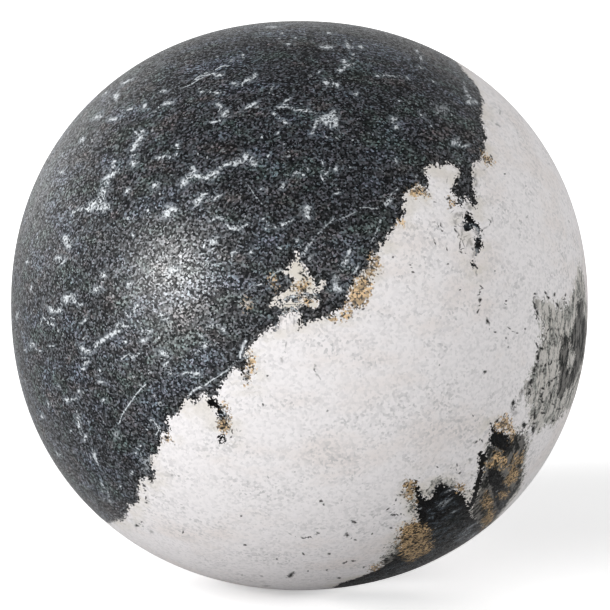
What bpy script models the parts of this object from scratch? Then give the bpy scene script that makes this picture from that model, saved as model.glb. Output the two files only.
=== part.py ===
"""A decorative ball of polished black and white stone, ground from one block.

The ball isn't a true sphere. It is a body of revolution about Z whose outline is a little fuller
than a circle on its shoulders and a little flatter at its crown and its underside. A small flat is
ground on the underside, so that the ball stands still on a table, and its edge is eased.

Units are metres. +Z is up, and the origin is the middle of the ground flat.
"""

import math

import bmesh
import bpy

# Driving dimensions
BELT_DIAMETER = 0.150
BALL_HEIGHT = 0.1466
FOOT_DIAMETER = 0.026
FOOT_EASE = 0.0006
# How full the outline is: 2 is an ellipse, and more is fuller on the shoulders
OUTLINE_FULLNESS = 2.115

# How finely the turned surface is divided
TURN_STEPS = 80
OUTLINE_STEPS = 38
EASE_STEPS = 3

DARK_STONE_COLOUR = (0.042, 0.046, 0.053, 1.0)
PALE_STONE_COLOUR = (0.72, 0.71, 0.70, 1.0)
HONED_ROUGHNESS = 0.42
SMOOTH_SHADING_ANGLE = math.radians(20)

# The contact of the two stones is close to one slanting plane: dark above it and to the left
CONTACT_NORMAL = (-0.60, -0.05, 0.80)
CONTACT_OFFSET = 0.004

# Points nearer than this share of the eased edge's width are joined
MERGE_SHARE = 0.002


def foot_height_share(foot_radius, belt_radius):
    """How far below the middle the outline is at the foot's radius, as a share of its half height."""
    return (1 - (foot_radius / belt_radius) ** OUTLINE_FULLNESS) ** (1 / OUTLINE_FULLNESS)


def ball_middle():
    """(height of the widest belt over the foot, half height of the ball before its foot is ground)."""
    share = foot_height_share(FOOT_DIAMETER / 2, BELT_DIAMETER / 2)
    half_height = BALL_HEIGHT / (1 + share)
    return half_height * share, half_height


def outline_point(angle):
    """A point (radius, height) of the unground outline. The angle runs from 0 at the belt to 90 degrees at the crown."""
    middle, half_height = ball_middle()
    across = abs(math.cos(angle))
    up = math.sin(angle)
    size = (across**OUTLINE_FULLNESS + abs(up) ** OUTLINE_FULLNESS) ** (-1 / OUTLINE_FULLNESS)
    return BELT_DIAMETER / 2 * across * size, middle + half_height * up * size


def foot_angle():
    """The outline's angle at the outer rim of the flat's eased edge, found by halving the range."""
    low, high = -math.pi / 2, 0.0
    for _ in range(60):
        angle = (low + high) / 2
        if outline_point(angle)[0] < FOOT_DIAMETER / 2 + FOOT_EASE:
            low = angle
        else:
            high = angle
    return high


def ball_outline():
    """The turned outline from the flat's edge to the crown, as (radius, height) points."""
    start = foot_angle()
    edge_radius, edge_height = outline_point(start)
    flat_radius = FOOT_DIAMETER / 2
    points = []
    for step in range(EASE_STEPS):
        # The eased edge leaves the flat level and bends up into the ball's side
        share = step / EASE_STEPS
        rise = edge_height * share**2
        points.append((flat_radius + (edge_radius - flat_radius) * share, rise))
    for step in range(OUTLINE_STEPS):
        angle = start + (math.pi / 2 - start) * step / OUTLINE_STEPS
        points.append(outline_point(angle))
    points.append((0.0, BALL_HEIGHT))
    return points


def stone(name, colour):
    """The finish of one of the two stones."""
    material = bpy.data.materials.new(name)
    material.use_nodes = True
    shader = material.node_tree.nodes["Principled BSDF"]
    shader.inputs["Base Color"].default_value = colour
    shader.inputs["Roughness"].default_value = HONED_ROUGHNESS
    shader.inputs["Metallic"].default_value = 0.0
    material.diffuse_color = colour
    return material


def turned_mesh(name, outline):
    """A closed mesh made by turning the outline about Z, with its underside closed by the ground flat."""
    shape = bmesh.new()
    points = [shape.verts.new((radius, 0.0, height)) for radius, height in outline]
    edges = [shape.edges.new(pair) for pair in zip(points, points[1:])]
    bmesh.ops.spin(
        shape,
        geom=points + edges,
        cent=(0.0, 0.0, 0.0),
        axis=(0.0, 0.0, 1.0),
        angle=math.tau,
        steps=TURN_STEPS,
        use_merge=True,
    )
    bmesh.ops.remove_doubles(shape, verts=shape.verts[:], dist=FOOT_EASE * MERGE_SHARE)
    rim = [edge for edge in shape.edges if edge.is_boundary]
    bmesh.ops.contextual_create(shape, geom=rim)
    bmesh.ops.recalc_face_normals(shape, faces=shape.faces[:])
    mesh = bpy.data.meshes.new(name)
    shape.to_mesh(mesh)
    shape.free()
    return mesh


def share_out_stones(mesh):
    """Gives each face the dark or the pale stone, by the side of the contact that it lies on."""
    middle, _ = ball_middle()
    for face in mesh.polygons:
        across = face.center.x * CONTACT_NORMAL[0] + face.center.y * CONTACT_NORMAL[1]
        side = across + (face.center.z - middle) * CONTACT_NORMAL[2]
        face.material_index = 0 if side > CONTACT_OFFSET else 1


def make_ball():
    """The whole ball: one solid piece of stone."""
    mesh = turned_mesh("stone_ball", ball_outline())
    mesh.materials.append(stone("dark_stone", DARK_STONE_COLOUR))
    mesh.materials.append(stone("pale_stone", PALE_STONE_COLOUR))
    share_out_stones(mesh)
    mesh.shade_smooth()
    mesh.set_sharp_from_angle(angle=SMOOTH_SHADING_ANGLE)
    ball = bpy.data.objects.new("stone_ball", mesh)
    bpy.context.scene.collection.objects.link(ball)
    return ball


def main():
    for old in list(bpy.data.objects):
        bpy.data.objects.remove(old, do_unlink=True)
    make_ball()


if __name__ == "__main__":
    main()
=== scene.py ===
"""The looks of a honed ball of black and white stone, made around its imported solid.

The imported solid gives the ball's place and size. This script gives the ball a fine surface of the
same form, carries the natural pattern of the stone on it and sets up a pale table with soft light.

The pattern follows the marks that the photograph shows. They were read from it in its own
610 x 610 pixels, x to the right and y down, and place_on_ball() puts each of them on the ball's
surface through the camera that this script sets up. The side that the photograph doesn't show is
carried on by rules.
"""

import math

import bmesh
import bpy
import numpy as np
from mathutils import Matrix, Vector


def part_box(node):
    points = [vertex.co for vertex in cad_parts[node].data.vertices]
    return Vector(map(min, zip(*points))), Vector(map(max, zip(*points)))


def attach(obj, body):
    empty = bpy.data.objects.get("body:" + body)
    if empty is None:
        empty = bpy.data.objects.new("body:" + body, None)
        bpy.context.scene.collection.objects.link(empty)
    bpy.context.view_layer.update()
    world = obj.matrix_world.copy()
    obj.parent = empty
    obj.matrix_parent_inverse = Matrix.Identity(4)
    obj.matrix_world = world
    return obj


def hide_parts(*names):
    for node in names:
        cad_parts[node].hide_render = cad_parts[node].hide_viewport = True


bl_info = {
    "name": "Stone Ball",
    "version": (1, 0, 0),
    "blender": (4, 5, 0),
    "location": "3D View > Sidebar > Stone Ball",
    "description": "A honed ball of black and white stone on a pale table",
    "category": "Object",
}

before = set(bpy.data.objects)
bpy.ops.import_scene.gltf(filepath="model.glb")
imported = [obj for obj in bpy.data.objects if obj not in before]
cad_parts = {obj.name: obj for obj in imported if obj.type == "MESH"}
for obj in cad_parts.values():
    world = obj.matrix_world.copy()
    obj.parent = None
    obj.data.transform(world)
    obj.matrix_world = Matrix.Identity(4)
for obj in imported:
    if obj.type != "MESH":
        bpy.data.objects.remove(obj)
CAD_LOW, CAD_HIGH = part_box("stone_ball")
CAD_POINTS = np.array([point.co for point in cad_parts["stone_ball"].data.vertices])
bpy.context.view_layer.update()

# The photograph
PICTURE_SIDE = 610
BALL_CENTRE_PIXEL = (299.5, 304.7)
BALL_WIDTH_PIXELS = 577.0

MM = 0.001
SENSOR_WIDTH = 36.0
FLAT_TOLERANCE = 1e-6
# The free edge round each side of the cube on the map that the bake uses, as a share of the side
MAP_GUTTER = 0.006
# The floor is this far under the foot, so that the two never share a surface
FLOOR_GAP = 0.02 * MM
# The floor's whitening grows between these distances from the ball
WHITENING_RANGE = (0.22, 0.60)
# Behind the ball on its right there is less of it, so that the ball's shadow shows there
SHADE_SHARE = 0.20
SHADE_SIDE = (-0.02, 0.07)
SHADE_START = (-0.05, 0.09)
SHADE_END = (0.25, 0.10)
# Just in front of the ball the whitening leans to the right, so that the shadow is on the left
FRONT_SIDE = (-0.006, 0.018)
FRONT_LEAN = (-0.12, 0.17)
FRONT_START = (0.006, -0.008)
FRONT_REACH = (0.048, 0.012)
# Between which shares of a direction the surroundings turn into each of their parts
TENT_OPENING = (-0.95, -0.25)
TENT_TOP = (0.22, 0.70)
TENT_BACK = (0.30, 0.90)
TENT_RIGHT = (0.20, 0.90)
TENT_LEFT = (-0.10, -0.60)
TENT_BACK_LEFT = (0.0, 0.4)


# Marks of the stone, read from the photograph

# The contact of the two stones, from the upper right edge of the ball to its lower left edge.
# The dark stone is above it and to the left.
CONTACT = [
    (453, 56), (457, 62), (462, 69), (467, 75), (472, 80), (476, 85), (479, 91), (481, 95),
    (483, 101), (482, 107), (482, 113), (481, 118), (483, 124), (484, 129), (486, 135), (484, 141),
    (485, 148), (483, 154), (480, 161), (475, 163), (473, 166), (472, 173), (474, 180), (473, 187),
    (475, 194), (475, 199), (477, 204), (474, 208), (471, 205), (469, 200), (466, 197), (463, 202),
    (461, 207), (457, 204), (459, 199), (455, 195), (451, 191), (453, 186), (456, 179), (460, 173),
    (457, 168), (452, 165), (448, 162), (444, 165), (441, 168), (437, 164), (434, 167), (430, 166),
    (426, 168), (424, 172), (428, 176), (429, 182), (427, 188), (428, 194), (424, 190), (421, 186),
    (416, 186), (410, 190), (406, 192), (402, 197), (406, 199), (406, 204), (401, 207), (405, 211),
    (404, 216), (400, 220), (396, 226), (391, 230), (388, 235), (387, 241), (383, 246), (379, 244),
    (380, 252), (372, 255), (371, 263), (369, 270), (362, 273), (357, 279), (353, 285), (350, 290),
    (348, 297), (348, 305), (343, 309), (335, 311), (331, 315), (338, 318), (330, 318), (324, 317),
    (319, 320), (313, 319), (308, 323), (303, 325), (300, 328), (301, 320), (299, 312), (292, 311),
    (286, 314), (280, 315), (278, 322), (275, 332), (272, 326), (267, 330), (261, 335), (256, 341),
    (252, 346), (247, 349), (245, 354), (249, 360), (245, 368), (249, 376), (248, 383), (243, 376),
    (239, 371), (232, 369), (228, 375), (224, 382), (219, 388), (216, 396), (212, 398), (206, 394),
    (201, 394), (199, 400), (195, 405), (192, 399), (188, 397), (184, 403), (181, 410), (176, 416),
    (168, 417), (166, 421), (169, 428), (168, 433), (163, 432), (161, 440), (159, 448), (158, 455),
    (151, 457), (151, 465), (154, 471), (155, 479), (150, 482), (149, 478), (143, 479), (140, 482),
    (139, 490), (137, 494), (139, 498), (138, 504), (128, 505), (130, 509), (127, 514), (123, 520),
    (116, 520), (109, 523),
]

# Dark patches in the pale stone, as closed outlines
DARK_PATCHES = [
    [(208, 399), (214, 397), (218, 402), (222, 405), (224, 410), (228, 413), (230, 419), (226, 421),
     (221, 420), (217, 418), (216, 411), (215, 405), (209, 406)],
    [(219, 437), (223, 434), (226, 438), (223, 442), (219, 443)],
    [(466, 211), (471, 214), (474, 220), (480, 227), (483, 232), (477, 230), (473, 227), (470, 231),
     (465, 230), (463, 226), (466, 221), (464, 216)],
    [(477, 236), (481, 239), (483, 244), (481, 251), (477, 254), (474, 250), (475, 243)],
    [(473, 259), (475, 262), (476, 267), (473, 268), (471, 264)],
    [(491, 422), (494, 425), (497, 431), (502, 432), (508, 434), (511, 438), (511, 445), (508, 451),
     (504, 455), (500, 451), (495, 448), (491, 445), (489, 440), (491, 432)],
    [(480, 452), (486, 453), (488, 458), (484, 466), (483, 476), (479, 488), (476, 500), (470, 511),
     (464, 515), (468, 505), (472, 495), (474, 485), (478, 472), (479, 460)],
    [(488, 470), (496, 468), (504, 476), (507, 486), (513, 490), (519, 487), (510, 499), (501, 511),
     (494, 518), (497, 508), (493, 497), (491, 487), (486, 480)],
    [(415, 480), (419, 487), (421, 494), (427, 500), (432, 497), (433, 491), (437, 486), (442, 482),
     (446, 486), (453, 489), (460, 491), (465, 497), (468, 505), (471, 515), (476, 520), (482, 524),
     (488, 526), (475, 536), (455, 549), (430, 562), (405, 573), (380, 581), (350, 587), (332, 588),
     (340, 583), (360, 577), (378, 569), (390, 562), (400, 550), (401, 540), (403, 528), (410, 523),
     (419, 522), (417, 510), (415, 500), (414, 490)],
]

# Pale patches inside the dark stone, as closed outlines
PALE_PATCHES = [
    [(297, 252), (299, 257), (299, 262), (303, 265), (307, 268), (309, 272), (305, 274), (310, 276),
     (313, 279), (315, 284), (318, 289), (320, 285), (323, 281), (325, 284), (321, 289), (318, 291),
     (314, 293), (311, 296), (307, 293), (303, 295), (299, 292), (295, 294), (290, 295), (286, 298),
     (281, 300), (275, 301), (272, 300), (277, 297), (282, 293), (288, 289), (294, 286), (297, 284),
     (294, 280), (290, 276), (287, 273), (283, 271), (289, 269), (291, 265), (293, 260), (295, 256)],
    [(281, 309), (283, 304), (289, 301), (296, 301), (302, 301), (306, 299), (311, 300), (316, 300),
     (319, 303), (317, 307), (312, 309), (309, 306), (304, 305), (298, 306), (290, 309)],
    [(268, 306), (271, 303), (276, 302), (280, 303), (277, 305)],
]

# Tan stains, as closed outlines
TAN_STAINS = [
    [(372, 254), (376, 256), (380, 262), (378, 272), (372, 276), (371, 290), (368, 298), (362, 307),
     (352, 310), (350, 317), (344, 319), (341, 315), (346, 309), (348, 303), (350, 296), (349, 292),
     (352, 286), (357, 281), (360, 277), (366, 273), (371, 268), (371, 260)],
    [(331, 318), (338, 317), (345, 319), (340, 321), (333, 321)],
    [(410, 190), (414, 187), (419, 184), (424, 190), (426, 196), (418, 197), (409, 195)],
    [(398, 220), (402, 221), (402, 225), (398, 224)],
    [(483, 152), (487, 155), (492, 160), (491, 164), (485, 162), (482, 157)],
    [(250, 352), (254, 358), (254, 368), (250, 378), (248, 383), (245, 378), (246, 370), (249, 362)],
    [(222, 402), (227, 405), (229, 414), (230, 424), (228, 430), (221, 432), (217, 427), (219, 419),
     (225, 414)],
    [(449, 199), (454, 200), (455, 204), (451, 206)],
    [(295, 284), (300, 279), (306, 280), (311, 286), (308, 291), (300, 292), (294, 290)],
    [(300, 299), (306, 296), (313, 297), (318, 300), (314, 303), (305, 303)],
    [(271, 276), (274, 277), (276, 284), (275, 291), (272, 289), (271, 283)],
    [(241, 303), (247, 299), (252, 302), (250, 307), (244, 309)],
    [(494, 424), (499, 419), (504, 415), (509, 418), (513, 424), (512, 431), (507, 431), (501, 429),
     (496, 430)],
    [(508, 428), (513, 429), (515, 436), (513, 442), (510, 438)],
    [(496, 451), (501, 452), (499, 460), (494, 467), (486, 469), (485, 464), (491, 459)],
    [(513, 455), (522, 454), (522, 463), (514, 464)],
    [(510, 464), (517, 465), (519, 473), (516, 480), (508, 486), (503, 482), (508, 474)],
    [(485, 493), (490, 494), (493, 500), (492, 508), (489, 511), (484, 508), (482, 501)],
    [(488, 511), (494, 514), (492, 520), (486, 526), (482, 530), (483, 520)],
    [(499, 460), (506, 459), (508, 465), (503, 470), (499, 467)],
    [(500, 492), (508, 492), (508, 497), (501, 498)],
    [(400, 528), (406, 523), (413, 520), (420, 524), (427, 527), (431, 533), (430, 540), (434, 546),
     (430, 552), (420, 557), (412, 562), (404, 560), (400, 552), (398, 540)],
    [(404, 484), (410, 481), (415, 484), (414, 496), (415, 505), (410, 500), (406, 494)],
    [(457, 485), (463, 485), (464, 491), (459, 492)],
    [(370, 565), (380, 564), (378, 570), (371, 571)],
    [(166, 434), (171, 438), (170, 442), (164, 441)],
]

# The smoky, finely speckled patch at the right edge of the ball
SMOKY_PATCHES = [
    [(579, 262), (584, 285), (587, 310), (587, 340), (583, 370), (575, 398), (563, 414), (550, 424),
     (538, 430), (529, 424), (531, 408), (524, 394), (530, 376), (536, 360), (541, 344), (543, 328),
     (536, 312), (534, 300), (545, 300), (556, 306), (566, 302), (574, 288)],
    [(489, 442), (500, 444), (510, 434), (519, 430), (527, 432), (530, 442), (527, 453), (525, 466),
     (521, 487), (514, 497), (502, 512), (488, 527), (474, 527), (468, 512), (476, 495), (480, 478),
     (484, 462)],
    [(376, 562), (386, 552), (392, 540), (399, 534), (404, 545), (404, 562), (392, 569)],
    [(404, 482), (412, 478), (416, 482), (420, 500), (422, 518), (414, 520), (409, 508), (405, 494)],
    [(426, 496), (434, 482), (446, 480), (462, 484), (468, 496), (458, 492), (442, 488), (434, 496)],
]

# The densest parts of the smoky patch, as closed outlines
SMOKY_STREAKS = [
    [(561, 336), (566, 334), (570, 338), (569, 350), (568, 360), (567, 366), (571, 372), (569, 380),
     (567, 388), (563, 396), (560, 401), (557, 396), (557, 388), (559, 378), (560, 368), (559, 358),
     (561, 348)],
    [(576, 302), (581, 299), (584, 303), (583, 312), (586, 322), (586, 334), (584, 348), (582, 362),
     (578, 372), (574, 382), (569, 390), (566, 386), (569, 376), (573, 366), (576, 354), (572, 349),
     (570, 342), (572, 332), (574, 322), (577, 312)],
    [(487, 446), (500, 444), (511, 436), (521, 432), (526, 438), (525, 450), (522, 466), (520, 486),
     (512, 496), (501, 510), (488, 526), (476, 526), (471, 512), (478, 495), (482, 478)],
    [(380, 562), (390, 556), (398, 546), (403, 548), (404, 562), (392, 568)],
]

# The regions of the stone that the mesh keeps
REGIONS = {
    "patch": DARK_PATCHES,
    "cream": PALE_PATCHES,
    "stain": TAN_STAINS,
    "smoke": SMOKY_PATCHES,
    "streak": SMOKY_STREAKS,
}

# White flecks in the dark stone: middle x and y, half length, half width and tilt in degrees,
# which is 0 for level and grows as the right end rises
FLECKS = [
    (97, 117, 6, 2, 20), (113, 119, 6, 2, 5), (130, 109, 4, 1.5, 25), (145, 106, 3, 2, 60),
    (168, 103, 6, 2, 15), (82, 140, 3, 2, 60), (135, 146, 8, 3, 50), (140, 139, 7, 2.5, 60),
    (136, 133, 5, 1.2, -50), (143, 131, 3, 1.4, -60), (134, 163, 4, 4, 0), (114, 162, 4, 1.5, 40),
    (111, 175, 10, 2.6, 30), (104, 188, 5, 1.5, 20), (103, 193, 5, 1.6, 35), (61, 172, 4, 1.5, 30),
    (155, 186, 4, 3, 50), (127, 191, 3, 2, 40), (184, 183, 6, 3.4, 50), (161, 157, 7, 1.7, 8),
    (176, 155, 4, 1.5, 45), (177, 145, 3, 2, 60), (196, 176, 8, 2.5, -5), (192, 168, 5, 1.6, -30),
    (198, 201, 7, 3, 40), (172, 209, 7, 3, -20), (167, 215, 5, 3, 0), (148, 210, 3, 1.5, 60),
    (93, 204, 6, 4, 30), (104, 207, 6, 5, 45), (88, 210, 4, 3, 0), (75, 211, 6, 1.5, 30),
    (65, 239, 4, 3, 60), (69, 246, 3, 3, 60), (57, 258, 4, 1.5, 30), (63, 262, 4, 1.5, 50),
    (27, 262, 2.5, 1.2, 70), (104, 275, 3, 3, 50), (97, 289, 5, 3, 30), (69, 297, 7, 3, 10),
    (129, 284, 3, 2.5, 80), (133, 235, 3, 1.3, -70), (163, 91, 4, 1.6, 5), (203, 92, 4, 1.4, 0),
    (217, 93, 4, 1.6, -10), (219, 75, 5, 2, 10), (225, 114, 5, 4, 45), (219, 105, 4, 2, -30),
    (250, 106, 9, 2, 27), (213, 122, 5, 1.2, 8), (235, 84, 4, 2, -30), (248, 80, 5, 2, 20),
    (255, 75, 3, 2, 60), (243, 56, 3, 1.6, -80), (126, 82, 8, 1.5, 27), (116, 96, 5, 3, 70),
    (105, 93, 4, 1.5, 35), (213, 175, 7, 4, 30), (202, 177, 6, 2, 0), (228, 164, 7, 2, 20),
    (237, 163, 4, 3, 50), (246, 157, 5, 3, 60), (254, 163, 4, 3.5, 30), (204, 194, 4, 1.5, 10),
    (218, 197, 5, 1.5, 30), (272, 27, 9, 1.5, 0), (329, 33, 4, 1.2, 0), (288, 44, 3, 1.2, 10),
    (327, 47, 7, 2, -5), (348, 45, 5, 2.5, -70), (361, 47, 3, 2, -30), (354, 54, 3, 1.3, 20),
    (344, 61, 3, 2, -60), (350, 65, 5, 1.5, 10), (341, 70, 4, 1.8, 20), (326, 83, 4, 3, -60),
    (337, 85, 3, 2, -70), (303, 110.5, 11, 1.7, -7), (333, 115, 6, 4, 50), (323, 117, 6, 2.5, 20),
    (336, 123, 5, 4, 80), (325, 123, 3, 3, 0), (316, 124, 4, 2, 60), (313, 132, 3, 2, 60),
    (285, 122, 4, 2, -40), (274, 114, 3, 1.4, -40), (394, 119, 4, 2.5, -20), (396, 127, 3, 2, 80),
    (356, 94, 2.5, 2, 0), (391, 76, 6, 1, -8), (396, 161, 3, 1.4, -70), (336, 169, 3, 2.3, -60),
    (326, 173, 4, 1.3, 50), (337, 193, 4, 1.3, 5), (295, 173, 4, 1.5, 40), (283, 186, 4, 2.3, 60),
    (307, 209, 4, 3, 40), (308, 216, 3.5, 3.5, 0), (283, 225, 4, 2.5, 20), (291, 221, 4, 1.5, 30),
    (228, 226, 4, 1.5, -40), (236, 228, 5, 3, 0), (246, 225, 3, 1.2, 30), (215, 219, 6, 1.5, 20),
    (213, 241.5, 6, 2.8, 40), (251, 252, 3.6, 1.8, 80), (205, 346, 4, 2, 40), (197, 374, 4, 3, 20),
    (421, 58, 4, 1.6, -60), (467, 93, 6, 2, -65), (469, 102, 4, 2, -30), (476, 102, 3, 1.3, -50),
    (455, 142, 5, 2.8, 40), (465, 146, 5, 1.2, 12), (434, 82, 4, 1.1, -35), (421, 115, 3.6, 1, -55),
    (345, 262, 5, 3, 60), (337, 288, 4, 6, 70),
    # The lower left of the dark stone
    (65, 302, 3, 2, 0), (75, 302, 2.5, 1.5, 0), (53, 311, 5, 2.5, 0), (59, 310, 3, 3, 0),
    (50, 307, 2, 1, 0), (44, 318, 3, 0.8, -45), (52, 324, 3, 2.2, 0), (41, 323, 2.5, 0.8, 85),
    (17, 316, 4, 1.5, 80), (31, 288, 3, 1, 80), (81, 305, 3, 1, 40), (85, 320, 4, 1.5, 50),
    (80, 323, 2, 1, 0), (118, 324, 3, 1, 50), (125, 326, 5, 1.5, 0), (127, 315, 4, 0.9, -60),
    (133, 311, 2, 2, 0), (138, 306, 2, 2, 0), (84, 350, 6, 3, -40), (89, 351, 3, 2, 0),
    (86, 363, 4, 2, 40), (83, 369, 3, 1, 0), (32, 345, 3, 3, 0), (52, 346, 3, 1.2, 0),
    (25, 350, 2, 1, 60), (40, 351, 2, 1, 0), (146, 331, 5, 2, 0), (144, 340, 5, 2, 20),
    (125, 342, 2, 1.5, 0), (100, 371, 2.5, 1, -60), (101, 382, 3, 1.5, 0), (59, 387, 2, 1.5, -60),
    (79, 391, 2, 1.5, 90), (67, 400, 3.6, 2.2, -20), (75, 399, 3, 1.5, 0), (103, 400, 2.5, 1.5, 40),
    (48, 404, 3, 1, -75), (77, 411.5, 1.4, 1.2, 0), (78, 420, 4, 1.8, -60), (79, 427, 3.6, 1.3, -70),
    (86, 436, 3.2, 1, -45), (85, 440, 2.6, 1.2, 0), (71, 431, 1.4, 1, 0), (42, 417, 2.6, 1, -50),
    (60.5, 454, 1.6, 1.3, 60), (57.5, 454, 3.4, 0.7, -60), (94, 453, 4.2, 1.8, -70),
    (95, 458, 3, 1.8, -50), (98, 464, 3.2, 0.8, -60), (102, 484, 3, 0.7, -45),
    (108.5, 493.5, 2.6, 0.9, -50), (104.5, 498.5, 1.4, 1, 0), (120.5, 486.5, 1.4, 1.2, 0),
    (132, 473, 2.2, 1.4, 70), (140.5, 446, 2.2, 1.5, 0), (136, 453, 1.6, 1.3, 40),
    (146.5, 429.5, 1.4, 1.2, 0), (151, 420, 2.2, 1.5, 0), (157, 425, 2.2, 1, -40),
    (165, 318.5, 3.6, 2.6, 0), (161, 314, 1.6, 1.4, 0), (164, 353, 6, 2.6, -20), (166, 364, 4, 1.3, 45),
    (170, 374, 3, 1.2, 0), (185, 373, 3, 1, 30), (196, 352.5, 1.5, 1.3, 0), (211, 326, 4, 1.2, 10),
    (201, 335.5, 2.4, 0.9, -40), (224, 330, 2.6, 2, -40),
    # The middle and the top of the dark stone
    (173, 270.5, 5, 2.2, 20), (204, 246, 2.6, 1, 70), (235, 252, 5, 1.2, 10), (232, 257.5, 3, 1, 70),
    (280, 248.5, 2.6, 1, -40), (297, 240.5, 2, 1.5, 0), (260, 284.5, 5, 0.8, 10), (271, 226, 4, 1, -15),
    (263, 219, 2, 1, 30), (261, 189, 2, 1, 40), (268, 156, 2.5, 1, 50), (262, 137, 2, 1.2, 40),
    (278, 133, 2.5, 1, 40), (307, 168, 3, 1, -60), (323, 164, 4, 1, -70), (351, 167, 2, 1, 0),
    (303, 175, 2, 1.5, 0), (322, 178, 4, 1, -65), (389, 203, 4, 1, 45), (144, 105, 2, 1, 40),
    (155, 112, 2, 1, 30), (231, 61, 2, 1, 30), (282, 33, 2, 1, 0), (296, 38, 2, 1, 0),
    (319, 72, 2, 1, 40), (338, 70, 2, 1, 40), (378, 76, 3, 1, 0), (272, 88, 2.5, 1, 50),
    (269.5, 93, 2, 1, 45), (287, 100, 5, 1.2, 37), (283, 107, 8, 0.9, 0), (417, 51, 2.6, 1.4, -40),
    (421, 67.5, 2.6, 1, -30), (407, 77.5, 2.6, 0.8, -40), (399, 101, 1.2, 1, 0), (431, 126, 1.2, 1, 0),
    (303, 253, 3, 1.5, 60), (307, 247, 4, 1.5, 60), (356, 270, 5, 1.4, 60), (349, 252, 4, 2, 70),
]

# Fainter, bluish flecks, given as the white ones are
FAINT_FLECKS = [
    (336, 278, 6, 4, 70), (464, 83, 4, 0.8, -70), (450, 490, 6, 1.4, 25), (440, 504, 6, 0.9, 40),
    (445, 505, 5, 0.9, 40), (449, 500, 5, 0.8, 30), (455, 511, 6, 1.0, 30), (478, 522, 8, 1.0, 30),
    (442, 109, 8, 6, 0), (468, 529, 12, 1.2, 38), (463, 537, 12, 1.0, 36), (472, 536, 9, 1.0, 38),
    (524, 442, 7, 1.5, -75), (147, 461, 6, 5, 0), (146, 469, 5, 3, 0), (287, 279, 4, 1, -60),
    (291, 283, 4, 1, -50), (310, 258, 5, 3, 60), (246, 304, 6, 3, 30), (116, 434, 3, 4, 0),
    (110, 501, 4, 2, -30),
]

# Thin lines, pale in the dark stone and dark in the pale one: half width, strength, then their points
HAIRLINES = [
    (0.7, 1.0, [(119, 424), (121, 418), (123, 413), (127, 407), (132, 400), (138, 392), (146, 384)]),
    (0.5, 0.45, [(245, 180), (250, 188), (256, 197)]),
    (0.5, 0.8, [(256, 197), (262, 204)]),
    (0.8, 1.0, [(204, 386), (212, 380), (222, 374), (229, 369), (233, 363)]),
    (1.3, 1.0, [(188, 398), (192, 392), (197, 388), (204, 386)]),
    (1.4, 1.0, [(240, 358), (241, 352), (243, 346), (246, 341)]),
    (1.2, 0.8, [(303, 256), (307, 248), (313, 240)]),
    (1.0, 0.6, [(318, 234), (327, 225), (334, 219)]),
    (0.6, 0.5, [(340, 219), (348, 216), (355, 212)]),
    (0.7, 0.6, [(360, 208), (366, 207), (372, 209), (379, 208)]),
    (0.9, 0.7, [(383, 205), (389, 199), (393, 192), (398, 189)]),
    (0.8, 0.6, [(371, 243), (375, 235), (378, 228), (381, 220)]),
    (0.7, 1.0, [(180, 89), (190, 85), (198, 80), (206, 76), (215, 73)]),
    (0.8, 1.0, [(195, 79), (203, 74), (213, 71), (222, 66), (229, 66)]),
    (2.2, 0.9, [(95, 346), (100, 342), (105, 339), (110, 335), (115, 333), (119, 331)]),
    (1.1, 0.9, [(132, 358), (141, 353)]),
    (1.1, 0.9, [(121, 359), (129, 354)]),
    (0.7, 1.0, [(160, 427), (155, 437)]),
    (0.5, 0.35, [(238, 300), (244, 293), (250, 288)]),
    (0.6, 0.6, [(283, 270), (276, 272), (271, 277), (270, 283), (273, 288)]),
    (0.5, 0.6, [(269, 278), (268, 285)]),
    (0.6, 0.5, [(83, 491), (88, 496), (93, 501), (98, 505)]),
    (0.9, 0.9, [(582, 265), (581, 280), (582, 296)]),
    (0.9, 0.9, [(586, 322), (587, 338), (585, 354), (582, 368), (576, 382), (570, 394), (563, 408)]),
    (0.8, 0.8, [(579, 374), (575, 386), (568, 398)]),
]

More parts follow.
